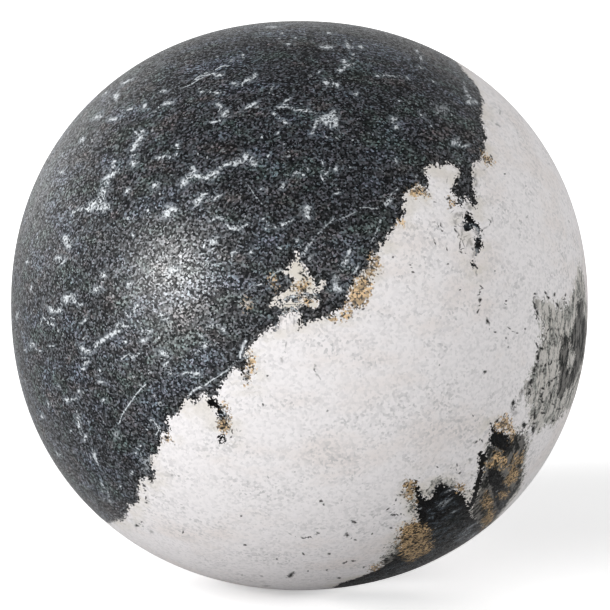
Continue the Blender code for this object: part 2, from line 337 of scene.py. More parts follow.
# Dark specks in the pale stone, given as the flecks are
SPECKS = [
    (267.5, 376, 1.5, 1.5, 0), (314, 370.5, 1.2, 1.1, 0), (263, 405, 2, 1, -70), (241, 516, 1.5, 1, 0),
    (183, 532, 2, 1, 80), (137, 525.5, 2.6, 1.3, -20), (144, 485.5, 3, 1.2, -50),
    (145, 490.5, 1.3, 1, 0), (146, 498, 2, 1, 80), (146.5, 502.5, 2.3, 1, -20),
    (141.5, 522, 1.2, 0.9, 0), (232, 431, 2, 0.8, 80), (231, 437, 1.5, 1, 45),
    (440.5, 225.5, 2.6, 1, 80), (442, 231, 1.6, 1, 0), (435, 202, 2, 0.7, -10), (393, 257, 1.5, 1, -30),
    (410, 265, 1.2, 0.8, 0), (413, 272, 2, 1, -20), (435, 243, 2, 0.8, -60), (447, 249, 2, 0.8, -80),
    (448, 264, 1.5, 1, 0), (456, 231, 3.2, 1.3, -60), (460, 245, 5, 1, 85), (461, 252, 2, 1.4, -40),
    (477, 229, 4, 1, -45), (505, 174, 1.2, 1, 0), (491, 222, 1.5, 1, 60), (493, 216, 2, 0.8, -70),
    (495, 271, 1, 0.8, 0), (460, 290, 1.2, 1, 0), (481, 286.5, 3, 1, -45), (480, 292, 1.2, 1.2, 0),
    (480, 300, 3.2, 1.8, 80), (478, 311, 2.6, 1, 60), (487.5, 321, 4.6, 2.1, -78),
    (495, 332, 1.6, 1.2, 0), (506, 301, 1.2, 1, 0), (509, 328, 2.5, 0.7, -40),
    (517, 333, 1.5, 0.8, -10), (506, 338, 1.5, 1, -50), (525, 329, 1.5, 1.3, 80),
    (508, 347, 1.5, 0.7, 80), (484.5, 372, 3, 2.2, 50), (473, 416, 1.3, 0.8, -50),
    (482, 441, 2, 1, -60), (476, 442, 3, 1.4, 20), (497, 421, 2.4, 1.5, 45), (524, 425, 4, 3, 80),
    (437, 467, 2, 0.8, -30), (457, 465, 2.6, 0.7, -85), (460, 473, 1.5, 1, 30),
    (396, 500, 2.5, 0.9, 70), (388, 509, 2.5, 0.8, 30), (393, 515, 3, 1.2, 0), (401, 514, 1, 1, 0),
    (409, 511, 1.5, 1, 70), (391, 528, 2, 1, 0), (402, 492, 2, 1.2, 0), (321, 501, 2.2, 1.8, 0),
    (324, 505, 1, 1, 0), (318, 533, 2, 1, 0), (303, 538, 3, 0.9, -10), (311, 537, 1.6, 0.8, -40),
    (245, 545, 2, 1, -20), (303, 553.5, 2.3, 1, -45), (277, 559, 1.3, 0.9, -40), (329, 554, 2, 1.2, 10),
    (291, 575, 5.5, 2.4, 35), (308, 571, 1, 1, 0), (327, 570, 1.5, 1, 0), (347, 535, 3, 2.2, 0),
    (354, 522, 3, 1.4, -20), (344, 563, 2, 1, 20), (353, 561, 3, 1.1, 0), (364, 567, 1.7, 0.8, 40),
    (339, 578, 2.5, 1, 0), (372, 534, 1.5, 1, 60), (355, 540, 2, 1, 0),
    # In the small stains on the lower left
    (224, 412, 4, 1.3, -60), (221, 420, 3, 1.6, -40), (226, 424, 3, 1.3, 60), (222, 428, 3, 1.2, 0),
    (229, 418, 2.6, 1, -60), (248, 372, 3, 2, 60), (246, 379, 3, 2, -30), (250, 364, 2.5, 1, 70),
    (247, 357, 3, 1.4, 60), (166, 437, 3, 1.6, -30), (448, 198.5, 2.4, 1.4, 20), (420, 190, 3, 1, -40),
    (491, 156, 2.4, 0.9, -60), (488, 162, 3, 1, 20), (480, 236, 2.4, 1.4, -50), (475, 257, 2, 1, 70),
    # In the stain beside the contact
    (364, 279, 1.4, 1.1, 0), (361, 284, 1.3, 1, 0), (353, 293, 2, 1.1, 70), (352, 305, 2, 1.8, 0),
    (376, 260, 1.8, 1, 20), (372, 267, 2, 1.6, 0), (363, 309, 2, 1.1, 30),
    # In the pale tongue
    (300, 273.5, 2.6, 1.8, -30), (293, 296.5, 5, 1.9, 8), (303, 290, 2.6, 1, -60),
    (306, 277, 3, 1, -35), (285, 299, 3, 1.1, 20), (311, 295.5, 5, 2.2, -12), (288, 308.5, 8, 0.9, 8),
    (301, 305.5, 7, 0.8, 14), (286, 312.5, 5, 1.4, 22), (310, 302.5, 4, 0.9, 10),
    (297, 312, 3, 0.9, 60), (276, 327, 4, 1, 80), (308, 284, 2, 0.8, -50), (314, 289, 2, 0.9, 30),
    (299, 265, 1.8, 0.8, 40), (304, 270, 2, 0.8, -40),
    # Along the smoky patch
    (535, 294, 2.2, 1.4, 10), (545.5, 293, 2.4, 1.1, -60), (548.5, 297.5, 2.4, 1.2, -50),
    (554.5, 294.5, 2.2, 1.2, 80), (565.5, 295, 2, 0.9, 80), (534.5, 305, 4, 1.4, -80),
    (537, 312.5, 3.6, 1.2, -70), (536.5, 318.5, 1.4, 0.9, 0), (557.5, 305.5, 4, 1.2, -60),
    (563.5, 299.5, 1.2, 0.9, 0), (536.5, 344.5, 4, 1.1, -65), (541, 348.5, 3.8, 1.8, -10),
    (538, 358, 6.5, 1.5, 88), (534.5, 370, 3.6, 1.5, 82), (531, 382, 5.6, 2.4, 68),
    (529, 393, 3.6, 1.1, 60), (545.5, 365, 3, 1, 60), (551, 363, 2.4, 1, 60), (543, 371.5, 2, 0.8, 50),
    (549, 382.5, 1.6, 1.4, 0), (555, 378, 4, 1, 35), (543, 388.5, 2.2, 1.4, -20),
    (541, 396, 2.2, 1.1, 10), (543, 402, 2.2, 1.4, 0), (551, 396, 6.5, 1.4, 88),
    (553, 404.5, 2.2, 1.3, -30), (559, 409, 4, 1, 5), (534.5, 415.5, 5.2, 1.6, 88),
    (533, 430, 6.5, 1.9, 86), (543, 413, 3, 1.5, 0), (513, 403.5, 5.2, 2.2, 68), (548, 330, 3, 0.9, 60),
    (546, 338, 3.4, 0.9, 88), (552, 329, 1.6, 1.2, 90), (556, 335, 2.6, 0.8, -70),
    (553, 420.5, 2.4, 1.2, 20),
]

# Faint grey specks and streaks in the pale stone, given as the flecks are
FAINT_SPECKS = [
    (470, 208, 4, 2.5, -60), (476, 232, 4, 2.4, -45), (471, 243, 4, 1.6, -60), (474, 255, 3, 2, 60),
    (476, 272, 4, 1.2, 80), (485, 228, 3, 1.2, 30), (461, 214, 4, 1.6, 60), (455, 222, 4, 1.6, -60),
    (464, 224, 3, 2, 0), (450, 208, 3, 1.5, 20), (434, 222, 2, 1.2, 0), (428, 238, 2, 1, 30),
    (317, 375, 2.2, 1.2, -50), (320.5, 379.5, 1.6, 1, -60), (315, 366, 2, 2, 0), (282, 360, 4, 2.5, 80),
    (172, 475, 2, 1.2, 0), (179, 476, 1.5, 1, 0), (151, 531.5, 4, 2, -50), (498, 125, 4, 1, -35),
    (500, 113, 2, 1, 80), (527, 217, 2, 1.4, 60), (295, 472, 1.5, 0.8, 60), (268, 477, 2, 0.9, -60),
    (290, 534, 3, 0.8, -30), (242, 575, 1.2, 1, 0), (261, 576, 3, 0.8, -20), (267, 586, 5, 0.9, 0),
    (451, 468, 1.5, 1, 40), (470, 460, 2, 2, 0), (472, 475, 2, 1.2, 0), (240, 431, 2, 1, 40),
    (475, 176, 4, 1.6, 80), (476, 185, 4, 1.6, 80), (484, 170, 2, 1.2, 0), (447, 180, 3, 0.8, 80),
    (456, 215, 4, 2, 60), (462, 232, 6, 2, 80), (468, 243, 6, 2, 80), (466, 205, 3, 1.5, 60),
    (492, 218, 3, 1.2, -75), (505, 308, 2.2, 1.8, 0), (537, 303, 4, 3, 80), (522, 392, 5, 3, 60),
    (527, 385, 4, 2.4, 60), (520, 400, 3, 2, 60), (476, 252, 3, 4, 0), (477, 275, 2.2, 1, 80),
    (515, 413, 4, 3, 60), (281, 320, 4, 2.4, 80), (294, 322, 6, 1, 88), (286, 345, 4, 1, 88),
]

# The make-up of the stone, in millimetres where it is a length

# Clouds: their size, the values of the noise where they start and are full, and what sets one
# kind apart from the others
CLOUD_KINDS = {
    "blue": (9.0, 0.47, 0.66, 11.0),
    "green": (6.0, 0.50, 0.64, 47.0),
    "brown": (5.0, 0.50, 0.66, 83.0),
    "crowd": (7.0, 0.44, 0.60, 140.0),
    "warm": (14.0, 0.46, 0.68, 210.0),
    "grey": (7.0, 0.45, 0.66, 260.0),
    "rust": (3.0, 0.40, 0.60, 310.0),
    "lines": (1.7, 0.50, 0.62, 400.0),
    "wash": (5.0, 0.42, 0.62, 505.0),
}
CLOUD_TURN = math.radians(38)
CLOUD_DRAWING = (0.42, 0.8, 1.0)
# Specks: the size of the cells, the share of them with a speck, and its width as a share of a cell
SPECK_KINDS = {
    "small flecks": (1.3, 0.14, 0.28),
    "large flecks": (2.6, 0.16, 0.24),
    "pale specks": (3.4, 0.10, 0.13),
    "smoky specks": (1.3, 0.40, 0.40),
    "stain specks": (1.15, 0.44, 0.36),
}
SMALLEST_SPECK = 0.35
SPECK_CORE = 0.7
# Frayed edges: the noise's reach and size, the edge's softness, and the reach of single crystals
FRAYED_EDGES = {
    "dark": (0.45, 1.4, 0.10, 1.3),
    "patch": (0.45, 1.4, 0.30, 0.5),
    "cream": (0.6, 1.2, 0.3, 1.6),
    "stain": (1.0, 1.3, 0.40, 2.0),
    "smoke": (1.8, 3.0, 0.8, 2.5),
    "streak": (0.8, 1.2, 0.4, 1.4),
}
FRAY_SHARE = 4.0
# Noises: their detail and roughness
FRAY_NOISE = (3.0, 0.6)
CLOUD_NOISE = (5.0, 0.62)
# Wavers: their size, reach, detail and roughness
SPECK_WAVER = (0.7, 0.9, 1.0, 0.5)
MARK_WAVER = (0.8, 2.2, 3.0, 0.6)
MIDDLE_GREY = (0.5, 0.5, 0.5)
WHITE = (1.0, 1.0, 1.0)

# The dark stone, where the ramps give the values they start and end at and then what they turn into
BLUE_SHARE = 0.75
GREEN_SHARE = 0.8
BROWN_SHARE = 0.8
BRIGHT_POWER = 4.0
BRIGHT_SHADE = 4.6
DULL_SHADE = 0.26
CAST_RANGE = (0.2, 0.8)
COOL_CAST = (0.90, 1.08, 1.07)
WARM_CAST = (1.13, 0.97, 1.03)
DARK_RIM = (0.2, 2.6, 0.38, 1.0)
# Darkening inside the dark patches: partly the stone's own blacker colour, partly painted shade for the
# shaded lower right of the ball
PATCH_DARKNESS_AND_PAINTED_SHADE = 0.12
PATCH_LINES = (1.8, 3.2, 0.0, 0.75)
CROWDED_FLECKS = 0.75
LONE_FLECKS = 0.06
PATCH_FLECKS = 0.7
# The pale stone
WARM_SHARE = 0.8
CLOUDED_SUGAR = 0.42
PLAIN_SUGAR = 0.36
PALE_SPECKS = 0.7
WASH_REACH = (-6.5, -0.3, 0.0, 0.55)
CREAM_SHARE = 0.8
# The smoky patches: the shares of smoke are those in their upright lines and then between them
SMOKE_SHADE = 1.5
SMOKE_BASE = 0.2
SMOKE_CREAM = 0.5
THIN_SMOKE = (0.90, 0.26)
DENSE_SMOKE = (1.0, 0.70)
DENSE_SHADE = 0.13
CROWDED_SPECKS = 0.9
LINE_DRAWING = (1.0, 1.0, 0.40)
LINE_NOISE = (1.7, 4.0, 0.66)
LINE_EDGE = (0.45, 0.55)
# The tan stains
STAIN_SHARE = 0.9
STAIN_SHADE = (0.08, 0.75, 0.10, 1.50)
STAIN_DRIFT = (1.15, 0.65)
STAIN_IN_DARK = 0.85
# The flecks, specks and hairlines
BROKEN_FLECK = (0.05, 0.65, 0.12, 1.0)
MARK_EDGE = (1.25, 0.25)
HAZE_EDGE = (3.2, 0.9)
HAZE_SHARE = 0.45
# The finish
SPECULAR_LEVEL = 0.15
POLISH_ROUGHNESS = 0.42
POLISH_IOR = 2.6
POLISH_POWER = 2.0
LEAST_POLISH = 0.06
PATCH_POLISH = 0.05
UNEVEN_ROUGHNESS = 0.14
PALE_HEIGHT = 0.25
BUMP_STRENGTH = 0.28

# How the stone goes on where the photograph doesn't show it
CONTACT_NORMAL = np.array((-0.60, -0.05, 0.80))
BACK_STEPS = 260
BACK_WAVES = [
    (2.0, 0.040, 0.4), (5.0, 0.030, 2.1), (11.0, 0.022, 4.0), (19.0, 0.016, 1.0), (31.0, 0.013, 3.0),
    (47.0, 0.010, 5.0), (73.0, 0.008, 0.7), (97.0, 0.006, 2.6),
]
# The flecks are strung out along the stone's bedding
BEDDING = np.array((0.82, 0.25, 0.50))
BACK_SEED = 7
BACK_STRINGS = 95
BACK_SPECKS = 150
# The stones change where a heading's share along the contact's normal is more than this
BACK_CONTACT = 0.06
# How many flecks a string has, how far they lie along it and off it, and how they turn
BACK_STRING_FLECKS = (3, 9)
BACK_RUN = 0.055
BACK_SPREAD = 0.016
BACK_TURN = 0.6
# Half lengths in millimetres, half widths as a share of them, and strengths
BACK_FLECK_LENGTH = (0.4, 1.9)
BACK_SPECK_LENGTH = (0.4, 0.6)
BACK_WIDTH_SHARE = (0.25, 0.7)
BACK_STRENGTH = (0.35, 1.0)
# The rust stains along the unseen contact
BACK_STAIN_WIDTH = 2.0 * MM
BACK_STAIN_WAVE = np.array((70.0, 110.0, 90.0))

# A mark holds its shape this far outside its edge, and then fades out over the same distance
MARK_REACH = 1.0 * MM
MARK_FADE = 8.0
NO_MARK = 9.0
FAINT_STRENGTH = 0.40
FAR_DEPTH = 12 * MM


def foot_radius():
    """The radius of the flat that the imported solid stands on."""
    on_flat = CAD_POINTS[CAD_POINTS[:, 2] < CAD_LOW[2] + FLAT_TOLERANCE]
    return float(np.hypot(on_flat[:, 0], on_flat[:, 1]).max())


def number_setting(name, description, default, **more):
    """A number that a user can change."""
    return bpy.props.FloatProperty(name=name, description=description, default=default, **more)


def length_setting(name, description, default):
    """A length that a user can change."""
    return number_setting(name, description, default, unit="LENGTH")


def share_setting(name, description, default):
    """A share from 0 to 1 that a user can change."""
    return number_setting(name, description, default, subtype="FACTOR")


def colour_setting(name, description, default):
    """A colour that a user can change."""
    return bpy.props.FloatVectorProperty(
        name=name, description=description, default=default, subtype="COLOR", size=3, min=0.0, max=1.0
    )


class BallSettings(bpy.types.PropertyGroup):
    """The form of the ball, and how finely it is divided."""

    belt_diameter: length_setting("Belt Diameter", "Width at its widest", CAD_HIGH[0] - CAD_LOW[0])
    ball_height: length_setting("Height", "From the ground foot to the crown", CAD_HIGH[2] - CAD_LOW[2])
    foot_diameter: length_setting("Foot Diameter", "Width of the flat on the underside", 2 * foot_radius())
    outline_fullness: number_setting(
        "Outline Fullness", "How full the shoulders are: 2 is an ellipse, and more is fuller", 2.115
    )
    divisions: bpy.props.IntProperty(
        name="Divisions",
        description="How many strips each side of the divided cube has before it is blown up into a ball",
        default=128,
    )
    front_crowding: share_setting(
        "Front Crowding", "How much finer the faces are in front than the average", 0.30
    )


class StoneSettings(bpy.types.PropertyGroup):
    """The colours and the finish of the two stones."""

    dark_colour: colour_setting("Dark Stone", "Ground colour of the dark stone", (0.018, 0.021, 0.027))
    blue_colour: colour_setting("Blue Cast", "Blue-grey clouds in the dark stone", (0.048, 0.060, 0.082))
    green_colour: colour_setting("Green Cast", "Green clouds in the dark stone", (0.027, 0.043, 0.039))
    brown_colour: colour_setting("Brown Cast", "Brown clouds in the dark stone", (0.042, 0.035, 0.034))
    fleck_colour: colour_setting("Flecks", "White flecks in the dark stone", (0.70, 0.74, 0.77))
    haze_colour: colour_setting("Fleck Haze", "Bluish haze round the flecks", (0.15, 0.18, 0.21))
    pale_colour: colour_setting("Pale Stone", "Ground colour of the pale stone", (0.885, 0.860, 0.865))
    grey_colour: colour_setting("Grey Sugar", "Greyer grains of the pale stone", (0.50, 0.495, 0.50))
    warm_colour: colour_setting("Warm Sugar", "Warmer clouds in the pale stone", (0.84, 0.79, 0.77))
    cream_colour: colour_setting("Cream Tongue", "Stained pale stone at the contact", (0.68, 0.64, 0.57))
    tan_colour: colour_setting("Tan Stains", "Rusty stains along the contact", (0.46, 0.33, 0.19))
    smoke_colour: colour_setting("Smoky Patch", "Grey ground of the smoky patch", (0.24, 0.245, 0.23))
    speck_colour: colour_setting("Specks", "Dark specks in the pale stone", (0.020, 0.020, 0.020))
    dark_roughness: share_setting("Dark Roughness", "How rough the honed dark stone is", 0.29)
    pale_roughness: share_setting("Pale Roughness", "How rough the honed pale stone is", 0.48)
    grain_size: length_setting("Grain Size", "Width of one crystal of the dark stone", 0.45 * MM)
    sugar_size: length_setting("Sugar Size", "Width of one crystal of the pale stone", 0.62 * MM)


class StageSettings(bpy.types.PropertyGroup):
    """The camera, the floor and the light."""

    camera_rise: number_setting(
        "Camera Rise", "How far above level the camera looks from", math.radians(8), subtype="ANGLE"
    )
    camera_distance: length_setting("Camera Distance", "From the middle of the ball to the camera", 0.90)
    floor_side: length_setting("Floor Side", "Length of one side of the square floor", 12.0)
    floor_colour: colour_setting("Floor", "Colour of the pale floor to the camera", (0.94, 0.94, 0.94))
    bounce_colour: colour_setting("Floor Bounce", "Colour of the floor to the ball", (0.58, 0.58, 0.58))
    floor_glow: number_setting("Floor Glow", "Light that the floor gives off by itself", 0.05)
    near_whitening: number_setting(
        "Near Whitening", "Further brightness of the floor beside the ball that the camera alone sees", 0.34
    )
    far_whitening: number_setting(
        "Far Whitening", "Further brightness of the distant floor that the camera alone sees", 0.55
    )
    tent_strength: number_setting(
        "Tent Strength", "Brightness of the white surroundings at the sides and behind", 1.05
    )
    opening_strength: number_setting(
        "Opening Strength", "Brightness of the surroundings on the camera's side", 0.92
    )
    top_share: share_setting("Top Share", "Brightness overhead, as a share of that at the sides", 0.46)
    back_share: number_setting(
        "Back Share", "Brightness behind the ball, as a share of that at the sides", 0.86
    )
    right_share: number_setting(
        "Right Share", "Brightness on the right, as a share of that at the sides", 1.08
    )
    left_share: number_setting(
        "Left Share", "Brightness behind on the left, as a share of that behind", 2.0
    )
    mirrored_share: share_setting(
        "Mirrored Share", "Brightness as the ball mirrors it, as a share of what it is", 0.58
    )
    backdrop_strength: number_setting(
        "Backdrop Strength", "Brightness of the surroundings where the camera itself sees them", 1.15
    )
    key_direction: bpy.props.FloatVectorProperty(
        name="Key Direction",
        description="From the ball towards the large soft light",
        default=(-0.742, -0.630, 0.228),
        subtype="DIRECTION",
    )
    key_distance: length_setting("Key Distance", "From the ball to the large soft light", 0.90)
    key_side: length_setting("Key Side", "Length of one side of the large soft light", 0.26)
    key_power: number_setting("Key Power", "Power of the large soft light", 3.0, unit="POWER")


class Outline:
    """The turned outline of the ball, worked out from its settings."""

    def __init__(self, ball):
        self.fullness = ball.outline_fullness
        self.belt_radius = ball.belt_diameter / 2
        foot_share = ball.foot_diameter / ball.belt_diameter
        drop = (1 - foot_share**self.fullness) ** (1 / self.fullness)
        self.half_height = ball.ball_height / (1 + drop)
        self.middle = np.array((0.0, 0.0, CAD_LOW[2] + self.half_height * drop))

    def reach(self, offsets):
        """How far out offsets from the middle are: 1 on the surface, and less inside."""
        across = np.hypot(offsets[:, 0], offsets[:, 1]) / self.belt_radius
        up = np.abs(offsets[:, 2]) / self.half_height
        return (across**self.fullness + up**self.fullness) ** (1 / self.fullness)

    def surface(self, directions):
        """The points of the surface in these directions from the middle."""
        return self.middle + directions / self.reach(directions)[:, None]


class PhotoView:
    """The camera that sees the ball as the photograph does."""

    RAY_STEPS = 48

    def __init__(self, outline, stage):
        self.outline = outline
        rise = stage.camera_rise
        self.right = np.array((1.0, 0.0, 0.0))
        self.back = np.array((0.0, -math.cos(rise), math.sin(rise)))
        self.up = np.cross(self.back, self.right)
        distance = stage.camera_distance
        half_angle = math.asin(outline.belt_radius / distance)
        self.focal_pixels = BALL_WIDTH_PIXELS / 2 / math.tan(half_angle)
        # The camera stands a little aside, so that the ball is off the picture's middle
        per_pixel = distance / self.focal_pixels
        aside = (PICTURE_SIDE / 2 - BALL_CENTRE_PIXEL[0]) * per_pixel
        above = (BALL_CENTRE_PIXEL[1] - PICTURE_SIDE / 2) * per_pixel
        offset = self.back * distance + self.right * aside + self.up * above
        self.place = outline.middle + offset
        self.toward = offset / np.linalg.norm(offset)

    def half_angle(self):
        """Half the angle that the picture's side takes in."""
        return math.atan(PICTURE_SIDE / 2 / self.focal_pixels)

    def place_on_ball(self, pixels):
        """The points of the ball that these pixels of the photograph show."""
        pixels = np.asarray(pixels, float)
        across = (pixels[:, 0] - PICTURE_SIDE / 2) / self.focal_pixels
        up = (PICTURE_SIDE / 2 - pixels[:, 1]) / self.focal_pixels
        rays = across[:, None] * self.right + up[:, None] * self.up - self.back
        rays /= np.linalg.norm(rays, axis=1)[:, None]
        start = self.place - self.outline.middle
        inner = -(rays @ start)
        outer = inner - 2 * self.outline.belt_radius
        for _ in range(self.RAY_STEPS):
            between = (inner + outer) / 2
            inside = self.outline.reach(start + rays * between[:, None]) < 1
            inner = np.where(inside, between, inner)
            outer = np.where(inside, outer, between)
        # A ray that misses the ball takes the nearest point of its edge
        return self.outline.surface(start + rays * inner[:, None])

    def chart(self, points):
        """A flat map of the whole surface as seen from the camera, true in angle from its middle."""
        offsets = points - self.outline.middle
        offsets /= np.linalg.norm(offsets, axis=1)[:, None]
        across = offsets @ np.cross(self.up, self.toward)
        up = offsets @ self.up
        angle = np.arccos(np.clip(offsets @ self.toward, -1, 1))
        stretch = angle / np.maximum(np.hypot(across, up), FLAT_TOLERANCE)
        return np.stack((across * stretch, up * stretch), axis=1)


def inside_outline(spots, corners):
    """Which spots of the flat map lie inside a closed outline, by counting crossings."""
    inside = np.zeros(len(spots), bool)
    for (x0, y0), (x1, y1) in zip(corners, np.roll(corners, -1, axis=0)):
        if y0 == y1:
            continue
        spans = (spots[:, 1] > y0) != (spots[:, 1] > y1)
        crossing = x0 + (spots[:, 1] - y0) * (x1 - x0) / (y1 - y0)
        inside ^= spans & (spots[:, 0] < crossing)
    return inside


def distance_to_line(points, corners):
    """The distance from each point to a line through the corners."""
    nearest = np.full(len(points), np.inf)
    for start, end in zip(corners, corners[1:]):
        run = end - start
        length = max(float(run @ run), FLAT_TOLERANCE**2)
        share = np.clip((points - start) @ run / length, 0, 1)
        gap = points - start - share[:, None] * run
        nearest = np.minimum(nearest, np.einsum("ij,ij->i", gap, gap))
    return np.sqrt(nearest)


def region_depth(points, spots, view, corners):
    """How deep inside a closed outline each point is, and less than 0 outside it."""
    middle = corners.mean(axis=0)
    size = np.linalg.norm(corners - middle, axis=1).max()
    depth = np.full(len(points), -FAR_DEPTH)
    near = np.linalg.norm(points - middle, axis=1) < size + FAR_DEPTH
    inside = inside_outline(spots[near], view.chart(corners))
    closed = np.vstack((corners, corners[:1]))
    distance = distance_to_line(points[near], closed)
    depth[near] = np.where(inside, distance, -distance)
    return depth


def patches_depth(points, spots, view, patches):
    """How deep inside the nearest of several patches each point is."""
    depths = [region_depth(points, spots, view, view.place_on_ball(patch)) for patch in patches]
    return np.max(depths, axis=0)


def contact_round_back(view, first, last):
    """The contact of the stones on the unseen side, from its first to its last point in front.

    It follows a slanting circle round the ball, waves a little, and meets the seen part at its ends.
    """
    outline = view.outline
    normal = CONTACT_NORMAL / np.linalg.norm(CONTACT_NORMAL)
    level = np.cross(normal, view.toward)
    level /= np.linalg.norm(level)
    rise = np.cross(level, normal)
    ends = np.array((first, last)) - outline.middle
    ends /= np.linalg.norm(ends, axis=1)[:, None]
    heights = ends @ normal
    turns = np.arctan2(ends @ rise, ends @ level)
    # The way round that leaves the camera's side
    sweep = (turns[1] - turns[0]) % math.tau
    through = turns[0] + sweep / 2
    if (math.cos(through) * level + math.sin(through) * rise) @ view.toward > 0:
        sweep -= math.tau
    share = np.linspace(0, 1, BACK_STEPS)[1:-1]
    turn = turns[0] + sweep * share
    height = heights[0] + (heights[1] - heights[0]) * share
    for waves, size, start in BACK_WAVES:
        height += size * np.sin(math.pi * share) * np.sin(waves * math.pi * share + start)
    width = np.sqrt(1 - height**2)
    directions = height[:, None] * normal
    directions = directions + (width * np.cos(turn))[:, None] * level
    directions = directions + (width * np.sin(turn))[:, None] * rise
    return outline.surface(directions)


def dark_depth(points, spots, view, depths):
    """How deep in the dark stone each point is, and less than 0 in the pale stone."""
    seen = view.place_on_ball(CONTACT)
    unseen = contact_round_back(view, seen[-1], seen[0])
    contact = np.vstack((seen, unseen))
    inside = inside_outline(spots, view.chart(contact))
    distance = distance_to_line(points, np.vstack((contact, contact[:1])))
    depth = np.maximum(np.where(inside, distance, -distance), depths["patch"])
    return np.minimum(depth, -depths["cream"])


class SmallMarks:
    """The flecks, specks and hairlines, as a vector that is shorter than 1 inside a mark.

    Each point holds its place within the nearest mark, measured in that mark's own half length and
    half width, so that a mark finer than the faces of the ball stays crisp.
    """

    def __init__(self, points, view):
        self.points = points
        self.view = view
        self.marks = np.full((len(points), 3), NO_MARK)
        self.beyond = np.full(len(points), FAR_DEPTH)
        self.strength = np.zeros(len(points))

    def take(self, near, along, across, beyond, strength):
        """Gives the points of a mark their place in it, where no other mark is nearer."""
        better = beyond < self.beyond[near]
        chosen = near[better]
        fade = np.maximum(0, beyond[better] - MARK_REACH) / MARK_REACH
        self.marks[chosen] = np.stack((along[better], across[better], MARK_FADE * fade), axis=1)
        self.beyond[chosen] = beyond[better]
        self.strength[chosen] = strength

    def add_oval(self, x, y, half_length, half_width, tilt, strength):
        """An oval mark, given in pixels of the photograph."""
        slope = math.radians(tilt)
        ahead = (x + half_length * math.cos(slope), y - half_length * math.sin(slope))
        beside = (x + half_width * math.sin(slope), y + half_width * math.cos(slope))
        middle, tip, side = self.view.place_on_ball([(x, y), ahead, beside])
        self.stamp(middle, tip - middle, side - middle, strength)

    def stamp(self, middle, long_axis, short_axis, strength):
        """An oval mark on the ball, given by its middle and its two half axes."""
        size = np.linalg.norm(long_axis) + np.linalg.norm(short_axis)
        offsets = self.points - middle
        gaps = np.linalg.norm(offsets, axis=1)
        near = np.flatnonzero(gaps < size + 2 * MARK_REACH)
        offsets, gaps = offsets[near], gaps[near]
        axes = np.stack((long_axis, short_axis))
        shares = (offsets @ axes.T) @ np.linalg.inv(axes @ axes.T)
        length = np.maximum(np.linalg.norm(shares, axis=1), FLAT_TOLERANCE)
        self.take(near, shares[:, 0], shares[:, 1], gaps * (1 - 1 / length), strength)

    def add_line(self, half_width, pixels, strength):
        """A thin line through pixels of the photograph."""
        corners = self.view.place_on_ball(pixels)
        width = half_width * np.linalg.norm(self.view.place - self.view.outline.middle)
        width /= self.view.focal_pixels
        last = len(corners) - 2
        for step, (start, end) in enumerate(zip(corners, corners[1:])):
            run = end - start
            length = np.linalg.norm(run)
            run /= length
            side = np.cross(start - self.view.outline.middle, run)
            side /= np.linalg.norm(side)
            offsets = self.points - start
            near = np.flatnonzero(np.linalg.norm(offsets, axis=1) < length + 3 * MARK_REACH)
            offsets = offsets[near]
            along = offsets @ run
            before = np.minimum(along, 0) if step == 0 else 0 * along
            after = np.maximum(along - length, 0) if step == last else 0 * along
            outside = np.maximum(-along, 0) + np.maximum(along - length, 0)
            across = offsets @ side
            beyond = np.hypot(across, outside) - width
            self.take(near, (before + after) / width, across / width, beyond, strength)

    def scatter_behind(self):
        """Strings of flecks and lone specks on the side that the photograph doesn't show."""
        chance = np.random.default_rng(BACK_SEED)
        outline = self.view.outline
        for step in range(BACK_STRINGS + BACK_SPECKS):
            heading = chance.normal(size=3)
            heading /= np.linalg.norm(heading)
            # A heading on the seen side is turned to the unseen one
            heading -= 2 * max(0.0, heading @ self.view.toward) * self.view.toward
            in_dark = heading @ CONTACT_NORMAL > BACK_CONTACT
            if in_dark != (step < BACK_STRINGS):
                continue
            drawn = BEDDING - (BEDDING @ heading) * heading
            drawn /= np.linalg.norm(drawn)
            across = np.cross(heading, drawn)
            for _ in range(chance.integers(*BACK_STRING_FLECKS) if in_dark else 1):
                shift = drawn * chance.normal(0, BACK_RUN) + across * chance.normal(0, BACK_SPREAD)
                place = (heading + shift) / np.linalg.norm(heading + shift)
                turn = chance.normal(0, BACK_TURN)
                along = drawn * math.cos(turn) + across * math.sin(turn)
                length = chance.uniform(*(BACK_FLECK_LENGTH if in_dark else BACK_SPECK_LENGTH)) * MM
                width = length * chance.uniform(*BACK_WIDTH_SHARE)
                beside = np.cross(heading, along)
                middle = outline.surface(place[None])[0]
                self.stamp(middle, along * length, beside * width, chance.uniform(*BACK_STRENGTH))


def small_marks(points, view):
    """All the flecks, specks and hairlines, and how strong they are."""
    marks = SmallMarks(points, view)
    marks.scatter_behind()
    for oval in FLECKS + SPECKS:
        marks.add_oval(*oval, 1.0)
    for oval in FAINT_FLECKS + FAINT_SPECKS:
        marks.add_oval(*oval, FAINT_STRENGTH)
    for half_width, strength, pixels in HAIRLINES:
        marks.add_line(half_width, pixels, strength)
    return marks.marks, marks.strength


def divided_cube(divisions):
    """A closed cube whose sides are divided into even strips, as a bmesh."""
    shape = bmesh.new()
    bmesh.ops.create_cube(shape, size=2.0)
    bmesh.ops.subdivide_edges(shape, edges=shape.edges[:], cuts=divisions - 1, use_grid_fill=True)
    return shape


def unfold_cube(shape):
    """Lays the six sides of the cube out on the map that the bake uses, three wide and two high."""
    layer = shape.loops.layers.uv.new("OFBake")
    kept = 1 - 2 * MAP_GUTTER
    for face in shape.faces:
        middle = face.calc_center_median()
        axis = max(range(3), key=lambda i: abs(middle[i]))
        column, row = axis, int(middle[axis] > 0)
        first, second = [i for i in range(3) if i != axis]
        for loop in face.loops:
            across = (loop.vert.co[first] + 1) / 2
            up = (loop.vert.co[second] + 1) / 2
            u = (column + MAP_GUTTER + across * kept) / 3
            v = (row + MAP_GUTTER + up * kept) / 2
            loop[layer].uv = (u, v)


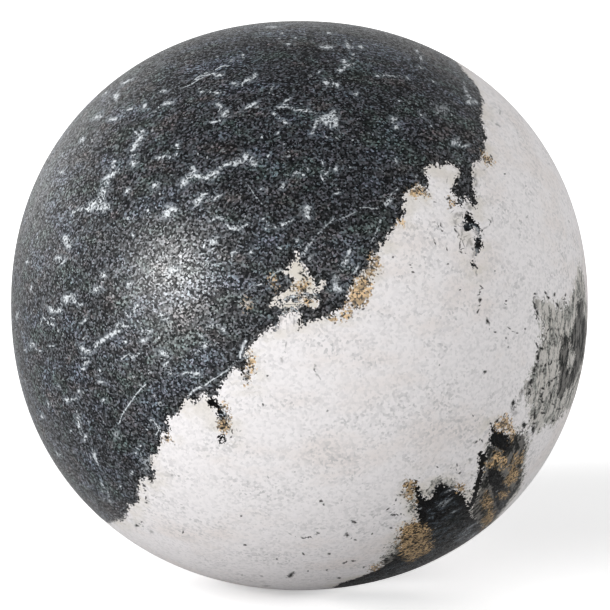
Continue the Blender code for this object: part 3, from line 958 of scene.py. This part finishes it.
def rounded(cube_points, view, crowding):
    """The points of the divided cube, blown up onto the ball and crowded towards the camera."""
    directions = np.tan(cube_points * math.pi / 4)
    directions /= np.linalg.norm(directions, axis=1)[:, None]
    cosine = np.clip(directions @ view.toward, -1, 1)
    angle = np.arccos(cosine)
    aside = directions - cosine[:, None] * view.toward
    aside /= np.maximum(np.linalg.norm(aside, axis=1), FLAT_TOLERANCE)[:, None]
    angle = angle - crowding * np.sin(angle)
    turned = np.cos(angle)[:, None] * view.toward + np.sin(angle)[:, None] * aside
    return view.outline.surface(turned)


def mesh_points(mesh):
    """The places of a mesh's points, as an array."""
    flat = np.empty(len(mesh.vertices) * 3)
    mesh.vertices.foreach_get("co", flat)
    return flat.reshape(-1, 3)


def grind_foot(mesh):
    """Cuts the underside level with the table and closes it with a flat."""
    shape = bmesh.new()
    shape.from_mesh(mesh)
    parts = shape.verts[:] + shape.edges[:] + shape.faces[:]
    table = (0.0, 0.0, CAD_LOW[2])
    bmesh.ops.bisect_plane(shape, geom=parts, dist=FLAT_TOLERANCE, plane_co=table, plane_no=(0, 0, 1))
    for point in shape.verts:
        point.co.z = max(point.co.z, CAD_LOW[2])
    highest_flat = CAD_LOW[2] + FLAT_TOLERANCE
    for edge in shape.edges:
        on_table = {face.calc_center_median().z < highest_flat for face in edge.link_faces}
        edge.smooth = len(on_table) == 1
    shape.to_mesh(mesh)
    shape.free()


def ball_mesh(ball, view):
    """The finely divided surface of the ball, with its foot ground flat."""
    shape = divided_cube(ball.divisions)
    unfold_cube(shape)
    mesh = bpy.data.meshes.new("honed_stone_ball")
    shape.to_mesh(mesh)
    shape.free()
    points = rounded(mesh_points(mesh), view, ball.front_crowding)
    mesh.vertices.foreach_set("co", points.ravel())
    mesh.update()
    grind_foot(mesh)
    mesh.polygons.foreach_set("use_smooth", np.ones(len(mesh.polygons), bool))
    mesh.update()
    return mesh


def store(mesh, name, values):
    """Keeps a value, or a vector, for each point of the mesh."""
    kind, key = ("FLOAT", "value") if values.ndim == 1 else ("FLOAT_VECTOR", "vector")
    layer = mesh.attributes.new(name, kind, "POINT")
    layer.data.foreach_set(key, values.astype(np.float32).ravel())


def carry_marks(mesh, view):
    """Keeps the stone's marks on the mesh, with depths in millimetres."""
    points = mesh_points(mesh)
    spots = view.chart(points)
    depths = {name: patches_depth(points, spots, view, patches) for name, patches in REGIONS.items()}
    depths["dark"] = dark_depth(points, spots, view, depths)
    # Rust goes on along the contact where the photograph doesn't show it
    behind = np.linalg.norm(spots, axis=1) > math.pi / 2
    rust = BACK_STAIN_WIDTH * np.sin(points @ BACK_STAIN_WAVE) - np.abs(depths["dark"])
    depths["stain"] = np.where(behind, np.maximum(depths["stain"], rust), depths["stain"])
    for name, depth in depths.items():
        store(mesh, name, depth / MM)
    marks, strength = small_marks(points, view)
    store(mesh, "mark", marks)
    store(mesh, "strength", strength)


class Nodes:
    """Short calls that add nodes to one node tree and give back their outputs."""

    # A Mix node has several sockets of the same name, so those for colours are found by number
    MIX_FIRST = 6
    MIX_SECOND = 7
    MIX_RESULT = 2

    def __init__(self, tree):
        self.tree = tree

    def feed(self, socket, value):
        """Sets a socket, or links it where the value is another node's output."""
        if isinstance(value, bpy.types.NodeSocket):
            self.tree.links.new(value, socket)
        elif socket.type == "RGBA" and len(value) == 3:
            socket.default_value = (*value, 1.0)
        else:
            socket.default_value = value

    def add(self, kind, inputs=None, **settings):
        """A new node with some of its settings and inputs."""
        node = self.tree.nodes.new(kind)
        for name, value in settings.items():
            setattr(node, name, value)
        for name, value in (inputs or {}).items():
            self.feed(node.inputs[name], value)
        return node

    def maths(self, operation, first, second=0.0):
        """A sum, product or other operation on two values."""
        node = self.add("ShaderNodeMath", {0: first, 1: second}, operation=operation)
        return node.outputs[0]

    def times(self, *values):
        """The product of several values."""
        product = values[0]
        for value in values[1:]:
            product = self.maths("MULTIPLY", product, value)
        return product

    def plus(self, first, second):
        """The sum of two values."""
        return self.maths("ADD", first, second)

    def minus(self, first, second):
        """The first value less the second."""
        return self.maths("SUBTRACT", first, second)

    def vector_maths(self, operation, first, second=(0.0, 0.0, 0.0), output="Vector"):
        """An operation on two vectors."""
        node = self.add("ShaderNodeVectorMath", {0: first, 1: second}, operation=operation)
        return node.outputs[output]

    def scaled(self, vector, factor):
        """A vector or a colour times a value."""
        node = self.add("ShaderNodeVectorMath", {0: vector, "Scale": factor}, operation="SCALE")
        return node.outputs["Vector"]

    def ramp(self, value, low, high, to_low=0.0, to_high=1.0):
        """A value eased from one range to another and held at its ends."""
        ends = {"Value": value, "From Min": low, "From Max": high, "To Min": to_low, "To Max": to_high}
        return self.add("ShaderNodeMapRange", ends, interpolation_type="SMOOTHSTEP").outputs["Result"]

    def switch(self, value, on, off=1.0):
        """One value where another is 0, easing to a second one where it is 1."""
        return self.ramp(value, 0.0, 1.0, off, on)

    def blend(self, factor, first, second):
        """The first colour, turning into the second as the factor goes to 1."""
        node = self.add("ShaderNodeMix", data_type="RGBA")
        self.feed(node.inputs[0], factor)
        self.feed(node.inputs[self.MIX_FIRST], first)
        self.feed(node.inputs[self.MIX_SECOND], second)
        return node.outputs[self.MIX_RESULT]

    def attribute(self, name, output="Fac"):
        """What the ball's mesh keeps under this name."""
        return self.add("ShaderNodeAttribute", attribute_name=name).outputs[output]

    def place(self):
        """The place on the ball, in millimetres."""
        return self.scaled(self.add("ShaderNodeTexCoord").outputs["Object"], 1 / MM)

    def noise(self, place, size, detail=2.0, roughness=0.5, output="Fac"):
        """Clouds about this many millimetres across."""
        scale = self.maths("DIVIDE", 1.0, size)
        inputs = {"Vector": place, "Scale": scale, "Detail": detail, "Roughness": roughness}
        return self.add("ShaderNodeTexNoise", inputs).outputs[output]

    def cells(self, place, size):
        """Irregular cells about this many millimetres across: their outputs, and their colour's parts."""
        scale = self.maths("DIVIDE", 1.0, size)
        cells = self.add("ShaderNodeTexVoronoi", {"Vector": place, "Scale": scale}).outputs
        return cells, self.add("ShaderNodeSeparateColor", {"Color": cells["Color"]}).outputs

    def waver(self, place, size, reach, detail, roughness):
        """A shift that wanders from place to place."""
        cloud = self.noise(place, size, detail, roughness, output="Color")
        return self.scaled(self.vector_maths("SUBTRACT", cloud, MIDDLE_GREY), reach)

    def group(self, tree, **inputs):
        """A node group placed in this tree. An input's name has _ for a space."""
        node = self.tree.nodes.new("ShaderNodeGroup")
        node.node_tree = tree
        for name, value in inputs.items():
            self.feed(node.inputs[name.replace("_", " ")], value)
        return node.outputs


def new_group(name, inputs, outputs):
    """An empty shader node group: its tree, the Nodes of it, and its inputs and outputs by name."""
    tree = bpy.data.node_groups.new(name, "ShaderNodeTree")
    for label, default in inputs.items():
        socket = tree.interface.new_socket(label, in_out="INPUT", socket_type="NodeSocketFloat")
        socket.default_value = default
    for label in outputs:
        tree.interface.new_socket(label, in_out="OUTPUT", socket_type="NodeSocketFloat")
    nodes = Nodes(tree)
    given = nodes.add("NodeGroupInput").outputs
    result = nodes.add("NodeGroupOutput").inputs
    return tree, nodes, given, result


def ragged_edge_group():
    """A mask of what is inside an edge, frayed by the grain of the stone."""
    inputs = dict.fromkeys(["Depth", "Reach", "Grain", "Softness", "Crystal", "Crystal Reach"], 1.0)
    tree, nodes, given, result = new_group("Ragged Edge", inputs, ["Mask"])
    fray = nodes.minus(nodes.noise(nodes.place(), given["Grain"], *FRAY_NOISE), 0.5)
    crystal = nodes.times(nodes.minus(given["Crystal"], 0.5), given["Crystal Reach"])
    depth = nodes.plus(given["Depth"], nodes.times(fray, given["Reach"], FRAY_SHARE))
    low = nodes.times(given["Softness"], -1.0)
    nodes.feed(result["Mask"], nodes.ramp(nodes.plus(depth, crystal), low, given["Softness"]))
    return tree


def stone_grain_group():
    """Crystals: a random shade and tint for each, and a height that tilts each its own way."""
    tree, nodes, given, result = new_group("Stone Grain", {"Size": 0.5}, ["Shade", "Tint", "Height"])
    place = nodes.place()
    crystals, parts = nodes.cells(place, given["Size"])
    nodes.feed(result["Shade"], parts["Red"])
    nodes.feed(result["Tint"], parts["Green"])
    # Each crystal's own slope is taken from its colour, and its height from its own middle
    tilt = nodes.vector_maths("SUBTRACT", crystals["Color"], MIDDLE_GREY)
    offset = nodes.vector_maths("SUBTRACT", place, crystals["Position"])
    nodes.feed(result["Height"], nodes.vector_maths("DOT_PRODUCT", tilt, offset, output="Value"))
    return tree


def scattered_specks_group():
    """A mask of small round specks, one in some of the cells that the stone is shared into."""
    inputs = {"Size": 2.0, "Share": 0.1, "Width": 0.3}
    tree, nodes, given, result = new_group("Scattered Specks", inputs, ["Mask", "Tint"])
    place = nodes.place()
    place = nodes.vector_maths("ADD", place, nodes.waver(place, *SPECK_WAVER))
    cells, parts = nodes.cells(place, given["Size"])
    chosen = nodes.maths("LESS_THAN", parts["Red"], given["Share"])
    width = nodes.times(given["Width"], nodes.plus(parts["Green"], SMALLEST_SPECK))
    spot = nodes.ramp(cells["Distance"], width, nodes.times(width, SPECK_CORE))
    nodes.feed(result["Mask"], nodes.times(chosen, spot))
    nodes.feed(result["Tint"], parts["Blue"])
    return tree


def drawn_clouds_group():
    """A mask of soft clouds, drawn out up to the right as the stone's bedding is."""
    inputs = {"Size": 8.0, "Low": 0.45, "High": 0.6, "Start": 0.0}
    tree, nodes, given, result = new_group("Drawn Clouds", inputs, ["Mask"])
    inputs = {"Vector": nodes.place(), "Rotation": (0.0, CLOUD_TURN, 0.0), "Scale": CLOUD_DRAWING}
    turned = nodes.add("ShaderNodeMapping", inputs).outputs["Vector"]
    start = nodes.add("ShaderNodeCombineXYZ", {"X": given["Start"], "Y": given["Start"]})
    place = nodes.vector_maths("ADD", turned, start.outputs["Vector"])
    cloud = nodes.noise(place, given["Size"], *CLOUD_NOISE)
    nodes.feed(result["Mask"], nodes.ramp(cloud, given["Low"], given["High"]))
    return tree


class StoneNodes(Nodes):
    """The nodes of the ball's stone, with the effects that both stones share, each built once."""

    def __init__(self, tree):
        super().__init__(tree)
        self.edge_group = ragged_edge_group()
        self.grain_group = stone_grain_group()
        self.specks_group = scattered_specks_group()
        self.clouds_group = drawn_clouds_group()

    def crystals(self, size):
        """The shade, tint and height of crystals of this size in metres."""
        return self.group(self.grain_group, Size=size / MM)

    def specks(self, name):
        """The mask and tint of one kind of small specks."""
        size, share, width = SPECK_KINDS[name]
        return self.group(self.specks_group, Size=size, Share=share, Width=width)

    def clouds(self, name):
        """The mask of one kind of clouds."""
        size, low, high, start = CLOUD_KINDS[name]
        return self.group(self.clouds_group, Size=size, Low=low, High=high, Start=start)["Mask"]

    def region(self, name, crystal):
        """The mask of a region that the mesh keeps, with its edge frayed."""
        reach, grain, softness, crystal_reach = FRAYED_EDGES[name]
        inputs = {"Depth": self.attribute(name), "Reach": reach, "Grain": grain, "Softness": softness}
        inputs |= {"Crystal": crystal, "Crystal_Reach": crystal_reach}
        return self.group(self.edge_group, **inputs)["Mask"]


def dark_stone(nodes, stone, grain, patch):
    """The colour of the dark stone: a near-black ground with brown, green and blue clouds."""
    colour = stone.dark_colour
    for name, share, cast in (
        ("brown", BROWN_SHARE, stone.brown_colour),
        ("green", GREEN_SHARE, stone.green_colour),
        ("blue", BLUE_SHARE, stone.blue_colour),
    ):
        colour = nodes.blend(nodes.times(nodes.clouds(name), share), colour, cast)
    # Most crystals are dull, and a few are bright
    bright = nodes.times(nodes.maths("POWER", grain["Shade"], BRIGHT_POWER), BRIGHT_SHADE)
    colour = nodes.scaled(colour, nodes.plus(bright, DULL_SHADE))
    cast = nodes.blend(nodes.ramp(grain["Tint"], *CAST_RANGE), COOL_CAST, WARM_CAST)
    colour = nodes.vector_maths("MULTIPLY", colour, cast)
    rim = nodes.ramp(nodes.attribute("dark"), *DARK_RIM)
    # Inside the dark patches the colour is darkened further: partly the stone's own colour, partly painted
    # shade
    colour = nodes.scaled(colour, nodes.times(rim, nodes.switch(patch, PATCH_DARKNESS_AND_PAINTED_SHADE)))
    lines = nodes.ramp(nodes.attribute("patch"), *PATCH_LINES)
    lines = nodes.times(nodes.clouds("lines"), lines, grain["Shade"])
    colour = nodes.blend(lines, colour, stone.haze_colour)
    crowd = nodes.plus(nodes.times(nodes.clouds("crowd"), CROWDED_FLECKS), LONE_FLECKS)
    crowd = nodes.times(crowd, nodes.switch(patch, PATCH_FLECKS), grain["Shade"])
    for name in ("small flecks", "large flecks"):
        fleck = nodes.times(nodes.specks(name)["Mask"], crowd)
        colour = nodes.blend(fleck, colour, stone.fleck_colour)
    return colour


def pale_stone(nodes, stone):
    """The colour of the pale stone: sugary grey-white with a few dark specks."""
    sugar = nodes.crystals(stone.sugar_size)["Shade"]
    colour = nodes.blend(nodes.times(nodes.clouds("warm"), WARM_SHARE), stone.pale_colour, stone.warm_colour)
    amount = nodes.plus(nodes.times(nodes.clouds("grey"), CLOUDED_SUGAR), PLAIN_SUGAR)
    colour = nodes.blend(nodes.times(sugar, sugar, amount), colour, stone.grey_colour)
    specks = nodes.specks("pale specks")
    speck = nodes.times(specks["Mask"], specks["Tint"], PALE_SPECKS)
    return nodes.blend(speck, colour, stone.speck_colour)


def smoky_stone(nodes, stone, grain):
    """The colour of the smoky patch: grey, crowded with dark specks."""
    shade = nodes.plus(nodes.times(grain["Shade"], SMOKE_SHADE), SMOKE_BASE)
    colour = nodes.scaled(stone.smoke_colour, shade)
    specks = nodes.times(nodes.specks("smoky specks")["Mask"], CROWDED_SPECKS)
    return nodes.blend(specks, colour, stone.speck_colour)


def stained_stone(nodes, stone, grain, dark):
    """The colour of a tan stain, speckled with dark crystals."""
    shade = nodes.ramp(grain["Shade"], *STAIN_SHADE)
    drift = nodes.switch(nodes.clouds("rust"), *STAIN_DRIFT)
    shade = nodes.times(shade, drift, nodes.switch(dark, STAIN_IN_DARK))
    colour = nodes.scaled(stone.tan_colour, shade)
    specks = nodes.times(nodes.specks("stain specks")["Mask"], CROWDED_SPECKS)
    return nodes.blend(specks, colour, stone.speck_colour)


def upright_lines(nodes):
    """A mask of fine wavy lines that run up the side of the ball."""
    inputs = {"Vector": nodes.place(), "Scale": LINE_DRAWING}
    drawn = nodes.add("ShaderNodeMapping", inputs).outputs["Vector"]
    return nodes.ramp(nodes.noise(drawn, *LINE_NOISE), *LINE_EDGE)


def mark_masks(nodes):
    """The masks of what lies inside a fleck, speck or hairline, and of the wider haze round it."""
    bend = nodes.waver(nodes.place(), *MARK_WAVER)
    spot = nodes.vector_maths("ADD", nodes.attribute("mark", "Vector"), bend)
    length = nodes.vector_maths("LENGTH", spot, output="Value")
    strength = nodes.attribute("strength")
    return [nodes.times(nodes.ramp(length, *edge), strength) for edge in (MARK_EDGE, HAZE_EDGE)]


def stone_colour(nodes, stone, grain, dark, patch):
    """The colour of the whole ball, from its pale ground to its smallest marks."""
    cream, stain, smoke, streak = (
        nodes.region(name, grain["Tint"]) for name in ("cream", "stain", "smoke", "streak")
    )
    colour = pale_stone(nodes, stone)
    wash = nodes.times(nodes.clouds("wash"), nodes.ramp(nodes.attribute("dark"), *WASH_REACH))
    colour = nodes.blend(wash, colour, stone.cream_colour)
    colour = nodes.blend(nodes.times(cream, CREAM_SHARE), colour, stone.cream_colour)
    colour = nodes.blend(nodes.times(smoke, SMOKE_CREAM), colour, stone.cream_colour)
    smoky = smoky_stone(nodes, stone, grain)
    lines = upright_lines(nodes)
    colour = nodes.blend(nodes.times(smoke, nodes.switch(lines, *THIN_SMOKE)), colour, smoky)
    dense = nodes.times(streak, nodes.switch(lines, *DENSE_SMOKE))
    colour = nodes.blend(dense, colour, nodes.scaled(smoky, DENSE_SHADE))
    colour = nodes.blend(dark, colour, dark_stone(nodes, stone, grain, patch))
    stained = stained_stone(nodes, stone, grain, dark)
    colour = nodes.blend(nodes.times(stain, STAIN_SHARE), colour, stained)
    # White flecks are broken up by the crystals around them, and dark specks are solid
    broken = nodes.ramp(grain["Shade"], *BROKEN_FLECK)
    solid = nodes.blend(dark, WHITE, broken)
    mark, haze = mark_masks(nodes)
    colour = nodes.blend(nodes.times(haze, dark, broken, HAZE_SHARE), colour, stone.haze_colour)
    mark_colour = nodes.blend(dark, stone.speck_colour, stone.fleck_colour)
    return nodes.blend(nodes.times(mark, solid), colour, mark_colour)


def stone_material(stone):
    """The whole stone of the ball, dark and pale, with its stains and marks."""
    material = bpy.data.materials.new("two_tone_stone")
    material.use_nodes = True
    nodes = StoneNodes(material.node_tree)
    shader = material.node_tree.nodes["Principled BSDF"].inputs
    grain = nodes.crystals(stone.grain_size)
    dark = nodes.region("dark", grain["Tint"])
    patch = nodes.region("patch", grain["Tint"])
    nodes.feed(shader["Base Color"], stone_colour(nodes, stone, grain, dark, patch))
    rough = nodes.switch(dark, stone.dark_roughness, stone.pale_roughness)
    uneven = nodes.times(nodes.minus(grain["Tint"], 0.5), UNEVEN_ROUGHNESS)
    nodes.feed(shader["Roughness"], nodes.plus(rough, uneven))
    shader["Specular IOR Level"].default_value = SPECULAR_LEVEL
    # The dark crystals take a polish that the pale ones don't, and the bright ones take the most
    shader["Coat Roughness"].default_value = POLISH_ROUGHNESS
    shader["Coat IOR"].default_value = POLISH_IOR
    polish = nodes.plus(nodes.maths("POWER", grain["Shade"], POLISH_POWER), LEAST_POLISH)
    nodes.feed(shader["Coat Weight"], nodes.times(polish, nodes.switch(patch, PATCH_POLISH), dark))
    height = nodes.times(grain["Height"], nodes.switch(dark, 1.0, PALE_HEIGHT))
    inputs = {"Height": height, "Strength": BUMP_STRENGTH, "Distance": 1 * MM}
    nodes.feed(shader["Normal"], nodes.add("ShaderNodeBump", inputs).outputs["Normal"])
    return material


def stone_settings():
    """The three sets of settings that the scene holds."""
    scene = bpy.context.scene
    return scene.stone_ball_form, scene.stone_ball_stone, scene.stone_ball_stage


class STONEBALL_OT_make_ball(bpy.types.Operator):
    """Make the honed ball of black and white stone"""

    bl_idname = "stone_ball.make_ball"
    bl_label = "Make Stone Ball"

    def execute(self, context):
        form, stone, stage = stone_settings()
        view = PhotoView(Outline(form), stage)
        mesh = ball_mesh(form, view)
        carry_marks(mesh, view)
        mesh.materials.append(stone_material(stone))
        ball = bpy.data.objects.new("honed_stone_ball", mesh)
        context.scene.collection.objects.link(ball)
        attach(ball, "root")
        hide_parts("stone_ball")
        return {"FINISHED"}


def floor_whitening(nodes, stage):
    """How much whiter than its lighting the floor looks to the camera."""
    place = nodes.add("ShaderNodeTexCoord").outputs["Object"]
    away = nodes.vector_maths("LENGTH", place, output="Value")
    whitening = nodes.ramp(away, *WHITENING_RANGE, stage.near_whitening, stage.far_whitening)
    parts = nodes.add("ShaderNodeSeparateXYZ", {"Vector": place}).outputs
    across, back = parts["X"], parts["Y"]
    behind = nodes.times(nodes.ramp(back, *SHADE_START), nodes.ramp(back, *SHADE_END))
    shaded = nodes.times(nodes.ramp(across, *SHADE_SIDE), behind)
    front = nodes.times(nodes.ramp(back, *FRONT_START), nodes.ramp(away, *FRONT_REACH))
    lean = nodes.times(nodes.ramp(across, *FRONT_SIDE, *FRONT_LEAN), front)
    return nodes.plus(nodes.times(whitening, nodes.switch(shaded, SHADE_SHARE)), lean)


def make_floor(stage):
    """The plain pale floor that the ball stands on."""
    shape = bmesh.new()
    place = Matrix.Translation((0.0, 0.0, CAD_LOW[2] - FLOOR_GAP))
    bmesh.ops.create_grid(shape, x_segments=1, y_segments=1, size=stage.floor_side / 2, matrix=place)
    mesh = bpy.data.meshes.new("pale_floor")
    shape.to_mesh(mesh)
    shape.free()
    material = bpy.data.materials.new("pale_floor")
    material.use_nodes = True
    nodes = Nodes(material.node_tree)
    shader = material.node_tree.nodes["Principled BSDF"]
    shader.inputs["Roughness"].default_value = 1.0
    shader.inputs["Specular IOR Level"].default_value = 0.0
    shader.inputs["Emission Color"].default_value = (1.0, 1.0, 1.0, 1.0)
    seen = nodes.add("ShaderNodeLightPath").outputs["Is Camera Ray"]
    nodes.feed(shader.inputs["Base Color"], nodes.blend(seen, stage.bounce_colour, stage.floor_colour))
    glow = nodes.plus(nodes.times(seen, floor_whitening(nodes, stage)), stage.floor_glow)
    nodes.feed(shader.inputs["Emission Strength"], glow)
    mesh.materials.append(material)
    floor = bpy.data.objects.new("pale_floor", mesh)
    bpy.context.scene.collection.objects.link(floor)


def make_tent(stage):
    """White surroundings, with a duller opening on the camera's side."""
    world = bpy.data.worlds.new("white_tent")
    world.use_nodes = True
    bpy.context.scene.world = world
    nodes = Nodes(world.node_tree)
    direction = nodes.add("ShaderNodeTexCoord").outputs["Generated"]
    parts = nodes.add("ShaderNodeSeparateXYZ", {"Vector": direction}).outputs
    strength = nodes.ramp(parts["Y"], *TENT_OPENING, stage.opening_strength, stage.tent_strength)
    for part, side, share in (
        ("Z", TENT_TOP, stage.top_share),
        ("Y", TENT_BACK, stage.back_share),
        ("X", TENT_RIGHT, stage.right_share),
    ):
        strength = nodes.times(strength, nodes.ramp(parts[part], *side, 1.0, share))
    back_left = nodes.times(nodes.ramp(parts["X"], *TENT_LEFT), nodes.ramp(parts["Y"], *TENT_BACK_LEFT))
    ray = nodes.add("ShaderNodeLightPath").outputs
    mirrored = nodes.switch(ray["Is Glossy Ray"], stage.mirrored_share)
    strength = nodes.times(strength, nodes.switch(back_left, stage.left_share), mirrored)
    backdrop = nodes.times(ray["Is Camera Ray"], stage.backdrop_strength)
    strength = nodes.maths("MAXIMUM", strength, backdrop)
    background = world.node_tree.nodes["Background"]
    background.inputs["Color"].default_value = (1.0, 1.0, 1.0, 1.0)
    nodes.feed(background.inputs["Strength"], strength)


def make_key_light(stage, outline):
    """The large soft light in front of the ball on its left."""
    light = bpy.data.lights.new("key_softbox", "AREA")
    light.shape = "SQUARE"
    light.size = stage.key_side
    light.energy = stage.key_power
    key = bpy.data.objects.new("key_softbox", light)
    direction = Vector(stage.key_direction).normalized()
    key.location = Vector(outline.middle) + direction * stage.key_distance
    key.rotation_euler = direction.to_track_quat("Z", "Y").to_euler()
    bpy.context.scene.collection.objects.link(key)


def make_camera(view):
    """The camera that sees the ball as the photograph does."""
    camera = bpy.data.cameras.new("photo_camera")
    camera.sensor_width = SENSOR_WIDTH
    camera.lens = SENSOR_WIDTH / 2 / math.tan(view.half_angle())
    holder = bpy.data.objects.new("photo_camera", camera)
    turn = Matrix((view.right, view.up, view.back)).transposed()
    holder.matrix_world = Matrix.Translation(Vector(view.place)) @ turn.to_4x4()
    bpy.context.scene.collection.objects.link(holder)
    bpy.context.scene.camera = holder


class STONEBALL_OT_make_stage(bpy.types.Operator):
    """Set up the pale floor, the soft light and the camera"""

    bl_idname = "stone_ball.make_stage"
    bl_label = "Make Stage"

    def execute(self, context):
        form, _, stage = stone_settings()
        outline = Outline(form)
        make_floor(stage)
        make_tent(stage)
        make_key_light(stage, outline)
        make_camera(PhotoView(outline, stage))
        context.scene.view_settings.view_transform = "Standard"
        context.scene.view_settings.look = "Medium High Contrast"
        return {"FINISHED"}


class STONEBALL_PT_panel(bpy.types.Panel):
    """The sizes, the colours and the buttons of the stone ball"""

    bl_label = "Stone Ball"
    bl_idname = "STONEBALL_PT_panel"
    bl_space_type = "VIEW_3D"
    bl_region_type = "UI"
    bl_category = "Stone Ball"

    def draw(self, context):
        layout = self.layout
        for settings in stone_settings():
            box = layout.box()
            for name in settings.bl_rna.properties.keys():
                if name not in ("rna_type", "name"):
                    box.prop(settings, name)
        layout.operator(STONEBALL_OT_make_ball.bl_idname)
        layout.operator(STONEBALL_OT_make_stage.bl_idname)


CLASSES = (
    BallSettings,
    StoneSettings,
    StageSettings,
    STONEBALL_OT_make_ball,
    STONEBALL_OT_make_stage,
    STONEBALL_PT_panel,
)


def register():
    for kind in CLASSES:
        bpy.utils.register_class(kind)
    bpy.types.Scene.stone_ball_form = bpy.props.PointerProperty(type=BallSettings)
    bpy.types.Scene.stone_ball_stone = bpy.props.PointerProperty(type=StoneSettings)
    bpy.types.Scene.stone_ball_stage = bpy.props.PointerProperty(type=StageSettings)


def unregister():
    del bpy.types.Scene.stone_ball_stage
    del bpy.types.Scene.stone_ball_stone
    del bpy.types.Scene.stone_ball_form
    for kind in reversed(CLASSES):
        bpy.utils.unregister_class(kind)


def main():
    register()
    bpy.ops.stone_ball.make_ball()
    bpy.ops.stone_ball.make_stage()


if __name__ == "__main__":
    main()
